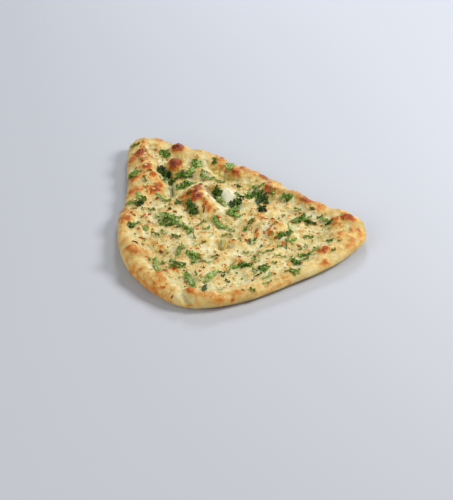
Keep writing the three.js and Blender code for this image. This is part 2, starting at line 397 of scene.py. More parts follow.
def add(tree, kind, inputs=None, stops=(), **settings):
    """Adds a node, and gives its outputs. Each input is a value or another node's output. The stops are a
    colour ramp's, with both ends first."""
    node = tree.nodes.new(kind)
    for name, value in settings.items():
        setattr(node, name, value)
    for key, value in (inputs or {}).items():
        if isinstance(value, bpy.types.NodeSocket):
            tree.links.new(value, node.inputs[key])
        else:
            node.inputs[key].default_value = value
    for index, (position, colour) in enumerate(stops):
        elements = node.color_ramp.elements
        element = elements[index] if index < 2 else elements.new(position)
        element.position = position
        element.color = linear(colour)
    return node.outputs


def new_material(name):
    """A material without nodes, and its node tree."""
    material = bpy.data.materials.new(name)
    material.use_nodes = True
    material.node_tree.nodes.clear()
    return material, material.node_tree


# Baked wheat crust, brushed with butter: cream where it is least baked, then golden, tan and dark brown.
# Its skin is finely wrinkled, and shines softly where the butter lies.
MOTTLE = 0.0032
SKIN_GRAIN = 0.0009
baked_crust, tree = new_material("baked_wheat_crust")
toasted, middle, butter_and_shade_share = (
    add(tree, "ShaderNodeAttribute", attribute_name=name)["Fac"] for name in ("toast", "middle", "butter"))
place = add(tree, "ShaderNodeTexCoord")["Object"]
mottle, grain = (
    add(tree, "ShaderNodeTexNoise", {
        "Vector": place, "Scale": 1 / size, "Detail": detail, "Roughness": roughness})["Fac"]
    for size, detail, roughness in ((MOTTLE, 4, 0.6), (SKIN_GRAIN, 3, 0.55)))
mottling, crumpling, skin_roughness, butter_coat = (
    add(tree, "ShaderNodeMapRange", {"Value": share, "To Min": low, "To Max": high})[0]
    for share, low, high in (
        (middle, 0.16, 0.36), (middle, 0.5, 1), (butter_and_shade_share, 0.58, 0.3), (butter_and_shade_share, 0.1, 0.5)))
freckle = add(tree, "ShaderNodeMapRange", {"Value": grain, "From Min": 0.6, "From Max": 0.74})[0]
freckle = add(tree, "ShaderNodeMath", {0: freckle, 1: middle}, operation="MULTIPLY")[0]
shade = add(tree, "ShaderNodeMath", {0: mottle, 1: mottling, 2: toasted}, operation="MULTIPLY_ADD")[0]
shade = add(tree, "ShaderNodeMath", {0: grain, 1: 0.3, 2: shade}, operation="MULTIPLY_ADD")[0]
shade = add(tree, "ShaderNodeMath", {0: freckle, 1: 0.22, 2: shade}, operation="MULTIPLY_ADD")[0]
shade = add(tree, "ShaderNodeMath", {0: shade, 1: 0.31}, operation="SUBTRACT")[0]
colour = add(tree, "ShaderNodeValToRGB", {"Fac": shade}, [
    (0, "#EEF0D8"), (1, "#2E120A"), (0.14, "#E6E2B6"), (0.28, "#DECE8E"), (0.42, "#DEBE74"),
    (0.54, "#D2953F"), (0.66, "#C0651E"), (0.78, "#AA480E"), (0.9, "#742E08")])[0]
# The butter darkens and yellows the crust's colour; in the hollows this darkening is also painted shade.
wet_and_shaded = add(tree, "ShaderNodeMix", {"Factor": butter_and_shade_share, "A": colour, "B": linear("#DECF9C")},
          data_type="RGBA", blend_type="MULTIPLY")["Result"]
skin = add(tree, "ShaderNodeBump", {"Height": mottle, "Strength": crumpling, "Distance": 0.001})[0]
skin = add(tree, "ShaderNodeBump", {
    "Height": grain, "Strength": 0.9, "Distance": 0.0004, "Normal": skin})[0]
surface = add(tree, "ShaderNodeBsdfPrincipled", {
    "Base Color": wet_and_shaded, "Roughness": skin_roughness, "Specular IOR Level": 0.3,
    "Subsurface Weight": 0.12, "Subsurface Radius": (1, 0.6, 0.3), "Subsurface Scale": 0.002,
    "Coat Weight": butter_coat, "Coat Roughness": 0.12, "Normal": skin,
    "Coat Normal": skin}, subsurface_method="RANDOM_WALK")[0]
add(tree, "ShaderNodeOutputMaterial", {"Surface": surface})

dough.materials.clear()
dough.materials.append(baked_crust)
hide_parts("naan_bread")
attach(crust, "root")

# Coriander, chopped by hand and strewn on the hot bread: whole leaflets, toothed pieces cut from them,
# crumbs and short stalks. They lie wherever they fell, drape over the dough and hold to its butter.
CRUMBS = 190
SHREDS_PER_AREA = 75
STRIP_KINDS = 3
STRIP_TEETH = 12
# Degrees of a leaflet's fan that one lobe takes up.
SPAN = 50
# The metres that a height of 1 stands for in a leaf's mesh, and the sheet's thickness in that measure.
LEAF_RELIEF = 0.011
LEAF_THICKNESS = 0.022
# How many times longer the leaves are than they look in the photograph, which shows them at a slant.
LEAF_GROWTH = 1.22
# Small pieces are strewn only where the upward normal is above this.
LEVEL = 0.86

# Each kind of piece: the part of a leaflet's fan that it is cut from, as two angles in degrees and the
# share of the way out from its stalk where it starts, how much it is rumpled, and how deep its edge is cut.
LEAF_KINDS = {
    "leaf": (-78, 78, 0.05, 0.12, 0.31),
    "fan": (-42, 42, 0.05, 0.08, 0.22),
    "half": (-80, 8, 0.05, 0.1, 0.38),
    "lobe": (-24, 24, 0.15, 0.07, 0.48),
    "tuft": (-70, 40, 0.35, 0.16, 0.4),
    "shred": (-38, 30, 0.45, 0.12, 0.42),
    "crumb": (-22, 22, 0.3, 0.1, 0.48),
}

# The larger leaves and lobes: kind, pixel x and y in the photograph, length in millimetres, turn in degrees
# from the bread's X axis, shade from 0 for dark to 100 for light, and the millimetres that it lies off the
# dough if it does.
LEAVES = [
    # the narrow end and the left roll
    ("leaf", 164.3, 155, 9, 55, 40), ("lobe", 140.2, 159.2, 3, 0, 20), ("lobe", 150, 170.2, 3, 60, 20),
    ("leaf", 132.6, 174.6, 9.5, -60, 40), ("leaf", 138.4, 196, 7, 10, 60), ("fan", 129.5, 202.8, 7, 80, 45),
    ("half", 140, 206.2, 4.5, 200, 20), ("lobe", 135.5, 208.4, 3.5, 30, 30),
    ("lobe", 143.3, 210.4, 3, 90, 30),
    # the deep hollow, packed with leaves whose dark shades are partly painted shade, and the leaves above
    # the large blister
    ("leaf", 162, 170, 6, 100, 12), ("leaf", 165, 174.8, 5.5, 30, 8), ("half", 170.5, 177, 5.5, -40, 5),
    ("half", 175, 179.5, 6, -30, 20, 0.4), ("half", 165, 182.5, 4, -70, 80), ("tuft", 172, 183, 7, -20, 20),
    ("leaf", 183, 174.8, 7, 20, 20, 0.4), ("leaf", 189, 173, 10, -20, 60, 0.6),
    ("tuft", 185, 176.5, 8, 190, 35, 0.2), ("leaf", 196.5, 166, 8.5, 60, 65, 0.3),
    ("half", 213, 161.7, 7, 40, 30), ("lobe", 214.5, 159.8, 4, 60, 30), ("leaf", 231.3, 165.9, 10, 170, 60),
    ("half", 236.8, 186.7, 5, 80, 20),
    # the large blister and its sides
    ("leaf", 180.4, 187.5, 8.5, 60, 35), ("leaf", 187.5, 183.8, 8.5, 30, 45),
    ("half", 192.5, 183, 5, 20, 50), ("fan", 178.1, 202, 8, -70, 25), ("half", 192.5, 210.5, 7, -50, 25),
    ("half", 168.3, 209, 5, 60, 20),
    # left of the middle
    ("half", 159.4, 216.6, 6, 160, 75), ("leaf", 169.6, 216.2, 6, 60, 70, 0.4),
    ("half", 163.5, 225.3, 6, 200, 40, 0.3), ("half", 132, 226.5, 6, -40, 30),
    ("fan", 146, 228.4, 6.5, 80, 50), ("leaf", 190.2, 232.3, 6, 160, 55),
    # the herb valley right of the large blister
    ("leaf", 214.5, 191, 5.5, -30, 25), ("leaf", 218, 196, 6, -60, 30, 0.2),
    ("half", 235.5, 204.5, 6, 120, 12), ("half", 234, 208, 6, 200, 20), ("leaf", 236, 210.5, 6, 40, 55, 0.9),
    ("leaf", 231.2, 213.5, 7, -100, 60, 0.5),
    # the dark cluster below the back rim, whose dark shades are partly painted shade
    ("half", 251, 197, 7, 160, 30), ("leaf", 255.7, 194.9, 8, 100, 30, 0.3),
    ("half", 258.8, 200.5, 6, -60, 15), ("half", 264.3, 199.5, 6, -20, 12),
    ("half", 262, 210, 6, -70, 8, 0.2), ("tuft", 266, 204, 6, 10, 20, 0.3),
    ("half", 271.7, 191.5, 5, 20, 50), ("lobe", 272.5, 195.7, 4, 90, 40),
    # right of the middle
    ("leaf", 286.5, 198, 5.5, 30, 40), ("half", 288.5, 199, 6, -40, 35), ("half", 311, 207.3, 5, -20, 30),
    ("lobe", 304, 213.8, 3, 10, 30), ("lobe", 283.7, 215.6, 3, 0, 20), ("leaf", 297, 221, 9, 100, 50, 0.2),
    ("leaf", 301.5, 219.5, 8, -20, 40, 0.4), ("fan", 291.5, 240.8, 10, 100, 50),
    ("fan", 329.5, 241, 6.5, -50, 35), ("lobe", 254.6, 257.7, 4, 30, 25), ("leaf", 296.5, 262, 7, -110, 35),
    ("lobe", 275.4, 263, 4, 30, 30), ("lobe", 291.2, 257, 3, 0, 40), ("lobe", 275, 224, 3, 120, 30),
    # the broad front
    ("half", 161.5, 262.8, 5, 70, 50), ("leaf", 193.5, 256.5, 7, 150, 50, 0.2),
    ("half", 212.8, 256, 4.5, 10, 60), ("half", 217.4, 256, 4, 200, 20), ("leaf", 245, 265.8, 7, 100, 35),
    ("fan", 264.4, 269, 10, 95, 35), ("fan", 293.8, 270.7, 8, 200, 40), ("lobe", 299, 269.3, 3, 0, 40),
    ("lobe", 242, 279.3, 3, 40, 60), ("lobe", 228.8, 282.4, 3, 0, 20), ("lobe", 253, 281, 3, 60, 20),
    ("lobe", 275.2, 274.1, 3, 100, 25), ("lobe", 203.6, 268, 3, 0, 30),
]

# Strips cut from a leaf, and short stalks: pixel x and y of both ends in the photograph, width in
# millimetres, and shade from 0 to 100.
STRIPS = [
    # the narrow end, the left roll and the leaves round the large blister
    (130.5, 149, 140, 144.5, 4, 40), (143, 177, 146.3, 182.5, 1.8, 30), (199.7, 177, 213, 180, 3, 55),
    (213, 179, 225, 183.3, 2.6, 50), (201.5, 171.4, 205, 173.2, 1.4, 35), (206, 173.6, 209.6, 174.9, 1, 60),
    (155.6, 193.9, 171.6, 201.6, 3, 60), (186.2, 202.7, 196.1, 215, 6, 25),
    (186.6, 195.4, 190.8, 192.4, 3, 30), (172, 184, 172.6, 197, 1.4, 30),
    (134.9, 204.2, 146.4, 199.7, 3.4, 30), (147.9, 210.4, 154.8, 210.4, 2, 40),
    # left of the middle
    (154.4, 217.3, 164.7, 215.7, 3, 85), (157.9, 221.8, 164.7, 224.1, 3.4, 45),
    (164.7, 215, 174.7, 220.3, 4, 55), (171.6, 218.8, 182.3, 218.4, 2.4, 50),
    (173.9, 220.3, 184.6, 226.4, 4, 65), (182.3, 225.7, 191.5, 229.5, 3.5, 60),
    (187.7, 233.3, 193.8, 231, 2.8, 60), (197.7, 226.8, 204.2, 220.9, 1.1, 30),
    (202.4, 229.5, 209.9, 228, 2.8, 55), (128, 223.4, 133, 228, 3, 30), (133, 225.7, 140.6, 223.4, 2.4, 40),
    (161.3, 231, 167.4, 234.5, 2.2, 55), (171.2, 236, 180.8, 237.9, 3.2, 35),
    (151, 233.3, 159.4, 236.4, 1.8, 30), (193.6, 235, 194.3, 239.4, 1.3, 50),
    (221.8, 237.5, 227, 235, 1.8, 50), (229.4, 235.3, 232.7, 237.8, 1.6, 40),
    # the herb valley and the middle
    (213.3, 218, 225.2, 229.5, 4.8, 50), (226, 228, 235, 232.2, 2.4, 55), (216, 198.9, 226.7, 206.5, 4, 75),
    (228.8, 213.7, 240.7, 217.5, 4.2, 60), (229.6, 213, 237.2, 207.5, 4, 60),
    (229.6, 202.2, 232.7, 208.3, 4, 12), (235.7, 200.7, 241.5, 204.5, 3.4, 40),
    (236.9, 194.9, 249.5, 197.2, 3.4, 40), (251.8, 188.4, 264.8, 185, 3.4, 50),
    (254.8, 193.8, 263.3, 192.2, 4, 35), (264.8, 193.8, 266.7, 204.5, 4.5, 20),
    # The two strips of shade 12 here lie in the dark cluster, and their darkness is partly painted shade.
    (258.7, 195.3, 258.7, 206, 4, 12), (258.7, 210.6, 264.8, 208.3, 4, 12),
    (254.5, 219.4, 247.2, 225.9, 3, 35), (247.2, 227.4, 243, 232.8, 3.2, 40),
    (256.7, 238.5, 252.9, 242, 2.2, 35), (248.7, 239.7, 250.2, 244.7, 2.8, 30),
    # right of the middle
    (279, 199.9, 283.9, 197.2, 3, 65), (282.5, 195.5, 291, 199, 3.4, 40),
    (293.9, 209.5, 300.8, 211.2, 2, 40), (293.1, 222.9, 304.6, 216.7, 5, 45),
    (304.6, 222.1, 316.1, 225.9, 4, 25), (306.5, 219.4, 311.9, 217.7, 2, 60),
    (316.5, 219.2, 323, 216.9, 2, 35), (320.3, 219.4, 327.5, 221.7, 3.4, 55),
    (331.4, 220.9, 325.3, 226.7, 3.4, 25), (278.1, 238.9, 291.1, 233.2, 4.5, 30),
    (292.7, 232.4, 289.6, 224, 3.4, 85), (286.2, 243.1, 286.8, 250.4, 1.4, 30),
    (304.1, 237.8, 313.7, 238.5, 3, 45), (337.6, 242.4, 342, 240.7, 1.5, 50),
    (318.7, 247, 312.6, 252.3, 2.6, 65), (331.3, 251.9, 335.5, 249.6, 2, 40),
    (304.5, 245.4, 307.6, 247.3, 1.8, 55), (301.8, 247.7, 299.2, 250.8, 1.8, 60),
    (277, 248.1, 282.5, 246.3, 1.8, 35), (263.2, 245.3, 259.5, 248.5, 1.4, 25),
    (265.5, 252.7, 274.3, 250.6, 2, 40), (256.3, 253.7, 264.7, 254.3, 1.3, 65),
    (242.5, 253.5, 248.7, 253.8, 2, 65), (251.3, 259.4, 260.1, 262.3, 1.5, 65),
    (273.9, 256.1, 286.2, 258.8, 1.5, 65), (297.6, 256.5, 311.4, 254.6, 4.2, 40),
    (289.6, 260.7, 295.3, 260, 3.2, 55), (301.8, 260.7, 309.1, 259, 2, 50),
    (295.7, 262.3, 300.3, 265.3, 2.4, 35),
    # the broad front
    (155.2, 258.4, 157.3, 271.8, 3.6, 60), (148.4, 258.9, 151, 261.7, 1.2, 30),
    (168.9, 262.3, 185.9, 266, 4.4, 35), (170.1, 266.8, 183, 268.5, 3, 50),
    (185.9, 253.1, 199.6, 257.7, 4.6, 50), (195.8, 257.5, 191.8, 264, 3.4, 45),
    (179.2, 247.3, 176.8, 256.5, 3.6, 45), (180.9, 244.6, 185, 249.6, 2.2, 55),
    (198.3, 261.9, 210.7, 264.2, 2.6, 80), (185, 273.5, 194.6, 287.6, 4.6, 50),
    (217, 271.4, 204.5, 283.4, 5.4, 65), (205.4, 285.9, 203.7, 291.7, 3.8, 20),
    (217.8, 272.6, 225.3, 273.9, 1.4, 35), (221.1, 276.8, 225.3, 275.9, 2, 25),
    (225.1, 280.5, 229.6, 283, 2.2, 20), (194.7, 272.2, 197.1, 276.8, 1.6, 45),
    (202, 276.8, 198.7, 282.6, 1.8, 75), (230.7, 269.2, 228, 274.9, 1.5, 60),
    (230.1, 268, 239.5, 266.9, 3.6, 50), (240.2, 265.7, 252.1, 265.7, 4.6, 35),
    (251.9, 269.9, 257.5, 272.4, 2.2, 40), (256.9, 276.8, 262.1, 273.7, 2, 30),
    (262.8, 279.5, 272, 274.5, 3, 70), (263.4, 284.5, 272, 282.3, 2, 75),
    (284.5, 273.4, 291.5, 270.3, 1.8, 45), (249.6, 289.7, 255.2, 291.7, 2, 40),
    (201.6, 244.4, 206.2, 242.4, 1.4, 50), (217, 290.3, 222.8, 290.5, 1.2, 80),
]

# Where the chopped pieces lie in heaps: pixel x and y in the photograph, spread in millimetres, how many
# pieces, and the darkest and lightest shade, from 0 to 100.
LEAF_HEAPS = [
    # The heaps in the deep hollow get dark shades that are partly painted shade.
    (161.5, 171.5, 2.8, 16, 0, 32), (167, 176, 3.2, 32, 0, 28), (173.5, 182, 3, 12, 0, 60),
    (164.5, 180, 2.5, 8, 40, 90), (181.5, 174.6, 2.6, 9, 0, 50), (187, 175.5, 4, 9, 10, 60),
    (196.5, 166.5, 4, 6, 20, 70), (186, 185, 4, 10, 10, 60), (190.5, 207, 3.5, 4, 5, 40),
    (222, 202, 2.5, 8, 40, 90), (216.5, 194, 2.2, 7, 0, 45), (235.5, 204.5, 3.5, 9, 0, 50),
    (235.5, 210, 3.5, 9, 5, 75), (232, 213.5, 3, 8, 30, 80), (241, 197, 3.5, 8, 20, 60),
    # The first three heaps here, in the dark cluster below the back rim, get dark shades that are partly
    # painted shade.
    (257, 194, 5, 6, 0, 60), (263, 199.5, 4.5, 9, 0, 35), (262, 207, 3.5, 8, 0, 40),
    (250, 196.5, 3.5, 10, 20, 60), (163.5, 217.5, 5, 6, 30, 90), (170, 221, 5, 9, 25, 80),
    (179, 225, 4.5, 6, 25, 80), (187, 229, 3.5, 4, 30, 80), (172, 226.5, 3, 5, 10, 60),
    (139.5, 204, 3, 6, 0, 40), (300, 221, 4, 8, 10, 60), (308, 223, 3, 6, 0, 40),
]


def leaflet_reach(angle, cut):
    """How far a leaflet's edge is from its stalk in a direction: three lobes with small rounded teeth."""
    lobe = abs((angle / SPAN + 0.5) % 1 - 0.5) * 2
    tooth = abs((angle / (SPAN / 4)) % 1 - 0.5) * 2
    return (1 - cut * lobe ** 1.5) * (1 - 0.14 * tooth) * (1 - 0.25 * abs(angle / 80) ** 3)


def leaf_rows(first, last, start, rumple, cut, chance):
    """One cut piece as rows of places, from its stalk outwards. All is in shares of the leaflet's length."""
    columns = max(4, round((last - first) / (SPAN / 7)))
    wave, bend = chance.uniform(0, 6), chance.uniform(-0.6, 0.6)
    rows = []
    for step in range(3):
        out = start + (1 - start) * step / 2
        row = []
        for column in range(columns + 1):
            angle = first + (last - first) * column / columns
            edge = leaflet_reach(angle, cut)
            reach = out * (edge if step == 2 else (1 + edge) / 2)
            rib = abs((angle / SPAN + 0.5) % 1 - 0.5) * 2
            lift = (0.3 + 0.6 * math.sin(angle / 11 + wave) * out ** 2 + bend * out ** 2
                    + 0.45 * rib * out)
            turn = math.radians(angle)
            row.append((reach * math.cos(turn), reach * math.sin(turn), rumple * lift))
        rows.append(row)
    middle = sum(place[0] for row in rows for place in row) / (3 * (columns + 1))
    return [[(x - middle, y, z) for x, y, z in row] for row in rows]


def strip_rows(chance):
    """A strip, one unit long and wide, toothed down both sides. Its rows run from side to side."""
    wave, bow = chance.uniform(0, 6), chance.uniform(-0.12, 0.12)
    rows = []
    for side in (-0.5, 0, 0.5):
        row = []
        for tooth in range(STRIP_TEETH + 1):
            along = tooth / STRIP_TEETH - 0.5
            reach = side * (1.1 if tooth % 2 else 0.8) * chance.uniform(0.85, 1.1)
            reach *= (0.9 + 0.12 * math.sin(9 * along + wave + 2 * side)) * (1 - 0.5 * abs(2 * along) ** 3)
            lift = (0.05 + 0.04 * math.sin(13 * along + wave)
                    + 0.16 * abs(side) * (1 + math.sin(7 * along + 4 * side)))
            row.append((reach + bow * (1 - 4 * along ** 2), along, lift))
        rows.append(row)
    return rows


def closed_sheet(name, rows, thickness):
    """A thin closed sheet through rows of places. Its cut edge is crisp."""
    wide = len(rows[0])
    top = [place for row in rows for place in row]
    below = [(x, y, z - thickness) for x, y, z in top]
    size = len(top)
    faces = []
    for row in range(len(rows) - 1):
        for corner in range(row * wide, row * wide + wide - 1):
            square = (corner, corner + wide, corner + wide + 1, corner + 1)
            faces += [square, tuple(index + size for index in reversed(square))]
    last = size - wide
    rim = [*range(wide), *range(2 * wide - 1, size, wide), *range(size - 2, last - 1, -1),
           *range(last - wide, 0, -wide)]
    cut = [(a, a + size, b + size, b) for a, b in zip(rim, rim[1:] + rim[:1])]
    shell = bmesh.new()
    made = [shell.verts.new(corner) for corner in top + below]
    for face in faces:
        shell.faces.new([made[index] for index in face]).smooth = True
    for face in cut:
        shell.faces.new([made[index] for index in face])
    bmesh.ops.recalc_face_normals(shell, faces=shell.faces)
    mesh = bpy.data.meshes.new(name)
    shell.to_mesh(mesh)
    shell.free()
    return mesh


# Strewn pieces: each place gets one piece of its kind, turned and sized, and every corner of the piece is
# then set down on the bread below it.
CEILING = cad_box[1][2] + 0.0006
FULL_ROOM = 0.004
EDGE_HEIGHT = 0.012

strewn = bpy.data.node_groups.new("strewn_on_bread", "GeometryNodeTree")
for label, socket in (("Places", "Geometry"), ("Kinds", "Collection"), ("Finish", "Material"),
                      ("Sunk", "Float")):
    strewn.interface.new_socket(name=label, in_out="INPUT", socket_type="NodeSocket" + socket)
strewn.interface.new_socket(name="Pieces", in_out="OUTPUT", socket_type="NodeSocketGeometry")
given = add(strewn, "NodeGroupInput")
kind, turn, size = (
    add(strewn, "GeometryNodeInputNamedAttribute", {"Name": name}, data_type=data_type)[0]
    for name, data_type in (("kind", "INT"), ("turn", "FLOAT_VECTOR"), ("size", "FLOAT_VECTOR")))
turn = add(strewn, "FunctionNodeEulerToRotation", {"Euler": turn})[0]
choice = add(strewn, "GeometryNodeCollectionInfo", {
    "Collection": given["Kinds"], "Separate Children": True, "Reset Children": True})[0]
copies = add(strewn, "GeometryNodeInstanceOnPoints", {
    "Points": given["Places"], "Instance": choice, "Pick Instance": True, "Instance Index": kind,
    "Rotation": turn, "Scale": size})[0]
pieces = add(strewn, "GeometryNodeRealizeInstances", {"Geometry": copies})[0]
position = add(strewn, "GeometryNodeInputPosition")[0]
corner = add(strewn, "ShaderNodeSeparateXYZ", {0: position})
above = add(strewn, "ShaderNodeCombineXYZ", {"X": corner["X"], "Y": corner["Y"], "Z": ABOVE})[0]
under = add(strewn, "GeometryNodeObjectInfo", {"Object": crust})["Geometry"]
drop = add(strewn, "GeometryNodeRaycast", {
    "Target Geometry": under, "Source Position": above, "Ray Direction": DOWN, "Ray Length": 2 * ABOVE})
# A corner that hangs over the bread's edge clings to the nearest crust.
beside = add(strewn, "ShaderNodeCombineXYZ", {
    "X": corner["X"], "Y": corner["Y"], "Z": EDGE_HEIGHT})[0]
nearest = add(strewn, "GeometryNodeProximity", {
    "Geometry": under, "Sample Position": beside}, target_element="FACES")["Position"]
landing = add(strewn, "GeometryNodeSwitch", {
    "Switch": drop["Is Hit"], "False": nearest, "True": drop["Hit Position"]}, input_type="VECTOR")[0]
# Less than FULL_ROOM below the ceiling the pieces lie flatter, so that none stands above it.
ground = add(strewn, "ShaderNodeSeparateXYZ", {0: landing})["Z"]
room = add(strewn, "ShaderNodeMath", {0: CEILING, 1: ground}, operation="SUBTRACT")[0]
flatter = add(strewn, "ShaderNodeMath", {0: room, 1: FULL_ROOM}, operation="DIVIDE", use_clamp=True)[0]
offset = add(strewn, "ShaderNodeMath", {0: corner["Z"], 1: given["Sunk"]}, operation="SUBTRACT")[0]
offset = add(strewn, "ShaderNodeMath", {0: offset, 1: flatter}, operation="MULTIPLY")[0]
offset = add(strewn, "ShaderNodeCombineXYZ", {"Z": offset})[0]
settled = add(strewn, "ShaderNodeVectorMath", {0: landing, 1: offset}, operation="ADD")[0]
pieces = add(strewn, "GeometryNodeSetPosition", {"Geometry": pieces, "Position": settled})[0]
pieces = add(strewn, "GeometryNodeSetMaterial", {"Geometry": pieces, "Material": given["Finish"]})[0]
add(strewn, "NodeGroupOutput", {"Pieces": pieces})


def strew(name, kinds, rows, finish, sunk):
    """Makes one object of many small pieces, from rows of x and y, lift, kind, turn, size and tone."""
    places = bpy.data.meshes.new(name + "_places")
    places.from_pydata([(x, y, lift) for x, y, lift, *_ in rows], [], [])
    for label, kind_of_value, field, values in (
            ("kind", "INT", "value", [row[3] for row in rows]),
            ("turn", "FLOAT_VECTOR", "vector", [part for row in rows for part in row[4]]),
            ("size", "FLOAT_VECTOR", "vector", [part for row in rows for part in row[5]]),
            ("tone", "FLOAT", "value", [row[6] for row in rows])):
        places.attributes.new(label, kind_of_value, "POINT").data.foreach_set(field, values)
    holder = placed(name, places)
    choices = bpy.data.collections.new(name + "_kinds")
    for index, mesh in enumerate(kinds):
        choices.objects.link(bpy.data.objects.new(f"{name}_kind_{index:02d}", mesh))
    layer = holder.modifiers.new("strewn", "NODES")
    layer.node_group = strewn
    sockets = {item.name: item.identifier for item in strewn.interface.items_tree}
    for label, value in (("Kinds", choices), ("Finish", finish), ("Sunk", sunk)):
        layer[sockets[label]] = value
    shaped(holder)
    for choice in list(choices.objects):
        bpy.data.objects.remove(choice)
    bpy.data.collections.remove(choices)
    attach(holder, "root")


chance = random.Random(11)
names = list(LEAF_KINDS)
leaf_meshes = [closed_sheet("coriander_" + name, leaf_rows(*LEAF_KINDS[name], chance), LEAF_THICKNESS)
               for name in LEAF_KINDS]
leaf_meshes += [closed_sheet(f"coriander_strip_{index}", strip_rows(chance), LEAF_THICKNESS)
                for index in range(STRIP_KINDS)]
rows = []


def lay_leaf(name, x, y, lift, length, degrees, tone):
    """Adds a row for one piece of leaf, at a place in plan."""
    tilt = (math.radians(chance.uniform(-5, 5)), math.radians(chance.uniform(-5, 5)), math.radians(degrees))
    rows.append((x, y, lift, names.index(name), tilt, (length, length, LEAF_RELIEF), tone))


for name, x, y, length, degrees, tone, *off in LEAVES:
    spot = seen_at(x, y, bread_tree)
    long, lift, tone = length * LEAF_GROWTH / 1000, sum(off) / 1000, tone / 100
    # The knife leaves each leaf as one larger piece with shreds beside it.
    lay_leaf(name, spot.x, spot.y, lift, long * 0.85, degrees, tone)
    for _ in range(2 if length < 6 else 4):
        far, aim = chance.uniform(0.2, 0.5) * long, chance.uniform(0, math.tau)
        lay_leaf(chance.choice(("lobe", "shred", "shred")), spot.x + far * math.cos(aim),
                 spot.y + far * math.sin(aim), lift + chance.uniform(0, 0.0006),
                 long * chance.uniform(0.3, 0.55), chance.uniform(0, 360), tone + chance.uniform(-0.15, 0.3))
for first_x, first_y, last_x, last_y, width, tone in STRIPS:
    one, other = seen_at(first_x, first_y, bread_tree), seen_at(last_x, last_y, bread_tree)
    way = Vector((other.x - one.x, other.y - one.y))
    middle, wide, tone = (one + other) / 2, width / 1000, tone / 100
    size = (wide * 1.1, way.length, LEAF_RELIEF)
    turn = (0, 0, math.atan2(way.y, way.x) - math.pi / 2)
    rows.append((middle.x, middle.y, 0.0002, len(names) + chance.randrange(STRIP_KINDS), turn, size, tone))
    for _ in range(round(way.length * width * SHREDS_PER_AREA)):
        far, aside = chance.uniform(-0.55, 0.55), chance.uniform(-0.6, 0.6) * wide / way.length
        lay_leaf(chance.choice(("lobe", "shred")), middle.x + far * way.x - aside * way.y,
                 middle.y + far * way.y + aside * way.x, chance.uniform(0, 0.0006),
                 wide * chance.uniform(0.5, 0.9), chance.uniform(0, 360), tone + chance.uniform(-0.15, 0.3))
for x, y, spread, count, darkest, lightest in LEAF_HEAPS:
    spot = seen_at(x, y, bread_tree)
    for _ in range(count):
        aside, behind = (chance.gauss(0, spread * 0.0006) for _ in range(2))
        lay_leaf(chance.choice(("lobe", "shred", "tuft", "half")), spot.x + aside, spot.y + behind,
                 chance.uniform(0, 0.0012), chance.uniform(0.0026, 0.0058), chance.uniform(0, 360),
                 chance.uniform(darkest / 100, lightest / 100))
for x, y in scattered_places(chance, CRUMBS, 0.014, LEVEL):
    lay_leaf("crumb", x, y, 0, chance.triangular(0.0016, 0.0046, 0.0022), chance.uniform(0, 360),
             chance.uniform(0.35, 0.9))

# Fresh leaf, wet with butter: deep green to light green in blotches and by the shade each piece carries,
# lighter on its ribs and underside. The darkest pieces, in the deep hollow and the dark cluster, are partly
# painted shade.
LEAF_BLOTCH = 0.0016
coriander_leaf, tree = new_material("chopped_coriander_leaf")
place = add(tree, "ShaderNodeTexCoord")["Object"]
tone = add(tree, "ShaderNodeAttribute", attribute_name="tone")["Fac"]
blotch = add(tree, "ShaderNodeTexNoise", {
    "Vector": place, "Scale": 1 / LEAF_BLOTCH, "Detail": 3, "Roughness": 0.6})["Fac"]
shade = add(tree, "ShaderNodeMath", {0: blotch, 1: 1.6, 2: tone}, operation="MULTIPLY_ADD")[0]
shade = add(tree, "ShaderNodeMath", {0: shade, 1: 0.77}, operation="SUBTRACT")[0]
colour = add(tree, "ShaderNodeValToRGB", {"Fac": shade}, [
    (0, "#0E1A02"), (1, "#DEE6B6"), (0.25, "#2F4E0B"), (0.5, "#618A26"), (0.75, "#9DBA5C")])[0]
crease = add(tree, "ShaderNodeBump", {"Height": blotch, "Strength": 0.6, "Distance": 0.0004})[0]
surface = add(tree, "ShaderNodeBsdfPrincipled", {
    "Base Color": colour, "Roughness": 0.45, "Normal": crease, "Coat Weight": 0.06, "Coat Roughness": 0.2,
    "Specular IOR Level": 0.2, "Subsurface Weight": 0.08, "Subsurface Scale": 0.001})[0]
add(tree, "ShaderNodeOutputMaterial", {"Surface": surface})
strew("chopped_coriander", leaf_meshes, rows, coriander_leaf, -0.0002)

# Garlic, minced and fried in the butter: small knobbly bits from pale yellow to brown, pressed into the
# dough all over the middle, with one larger piece in the dimple at the centre.
GARLIC_BITS = 700
GARLIC_KINDS = 5

